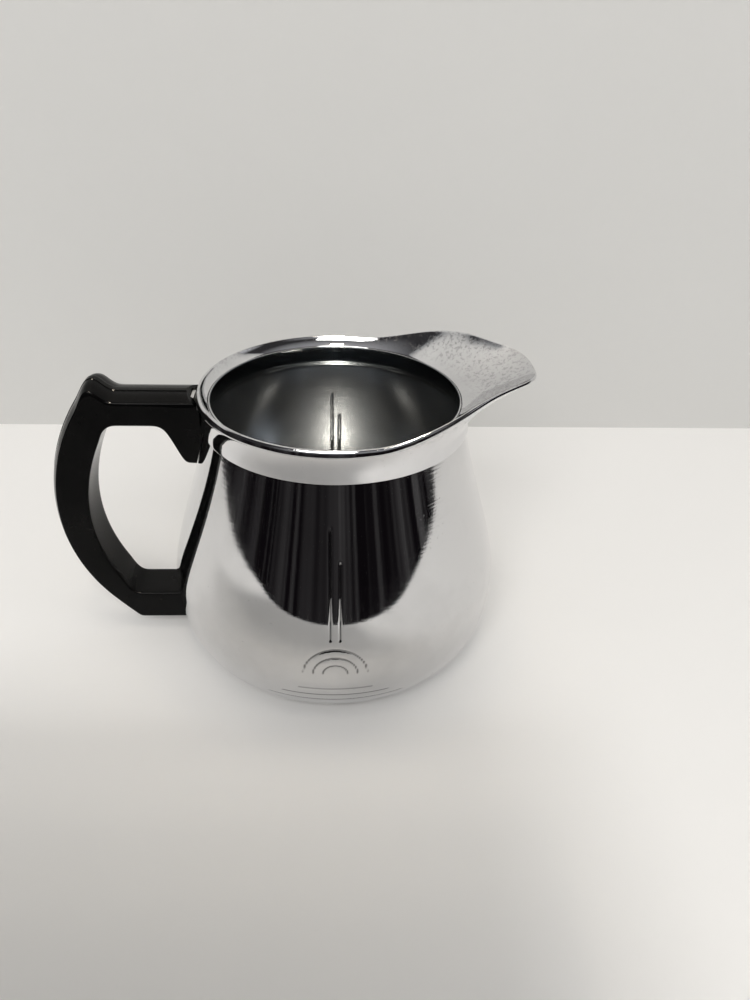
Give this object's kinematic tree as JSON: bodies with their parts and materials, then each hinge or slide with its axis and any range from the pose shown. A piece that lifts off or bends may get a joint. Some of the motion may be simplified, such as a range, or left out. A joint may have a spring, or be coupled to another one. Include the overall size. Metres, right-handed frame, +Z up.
{
  "type": "candle melting pot",
  "caption": "Metal pouring pot with a pear-shaped body, a rolled lip drawn out into a broad spout, and a moulded D-shaped handle, for melting and pouring candle wax.",
  "frame": {"origin": "centre of the flat bottom of the body, on the surface the pot stands on", "axes": "+Z up along the axis of the body, +X towards the spout, the handle on -X, +Y to the left of someone pouring"},
  "size_m": [0.1832, 0.13, 0.1202],
  "materials": {
    "plated_body": "mirror plated outside, satin grey inside",
    "plated_collar": "mirror plated, lightly scratched",
    "black_moulding": "glossy black moulded phenolic",
    "bracket_steel": "plain plated sheet",
    "screw_steel": "turned steel",
    "washer_steel": "stamped steel"
  },
  "bodies": {
    "root": {"body_shell": "plated_body", "spout_collar": "plated_collar", "handle": "black_moulding", "upper_bracket": "bracket_steel", "lower_bracket": "bracket_steel", "handle_screws": "screw_steel", "screw_washers": "washer_steel"}
  },
  "joints": []
}
